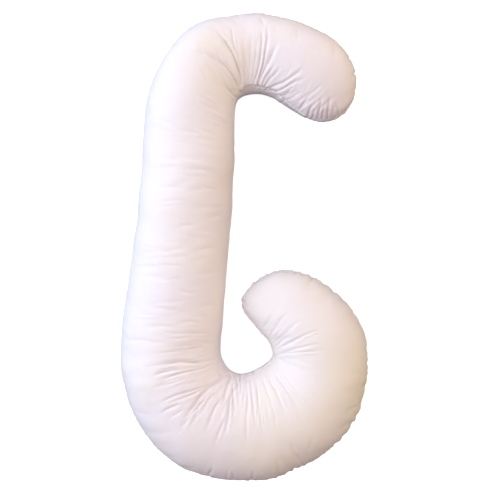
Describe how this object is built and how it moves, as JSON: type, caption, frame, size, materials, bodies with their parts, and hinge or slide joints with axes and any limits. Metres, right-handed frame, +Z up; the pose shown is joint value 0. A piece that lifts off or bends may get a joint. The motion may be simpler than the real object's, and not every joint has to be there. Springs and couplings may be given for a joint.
{
  "type": "full-length body pillow, hooked at the head and curled at the foot",
  "caption": "Long fibre-filled body pillow in white cotton sateen: a straight tube that hooks over at the head and curls round at the foot, with gathered creases inside each bend.",
  "frame": {"origin": "middle of the bounding box, on the floor", "axes": "+Y from the foot to the head along the tube, +X towards the open side of the hook and the curl, +Z up out of the front panel"},
  "size_m": [0.7624, 1.4422, 0.2161],
  "materials": {
    "cover": "white cotton sateen, fine close weave with a soft sheen, creased at the bends"
  },
  "bodies": {
    "root": {"pillow": "cover"}
  },
  "joints": []
}
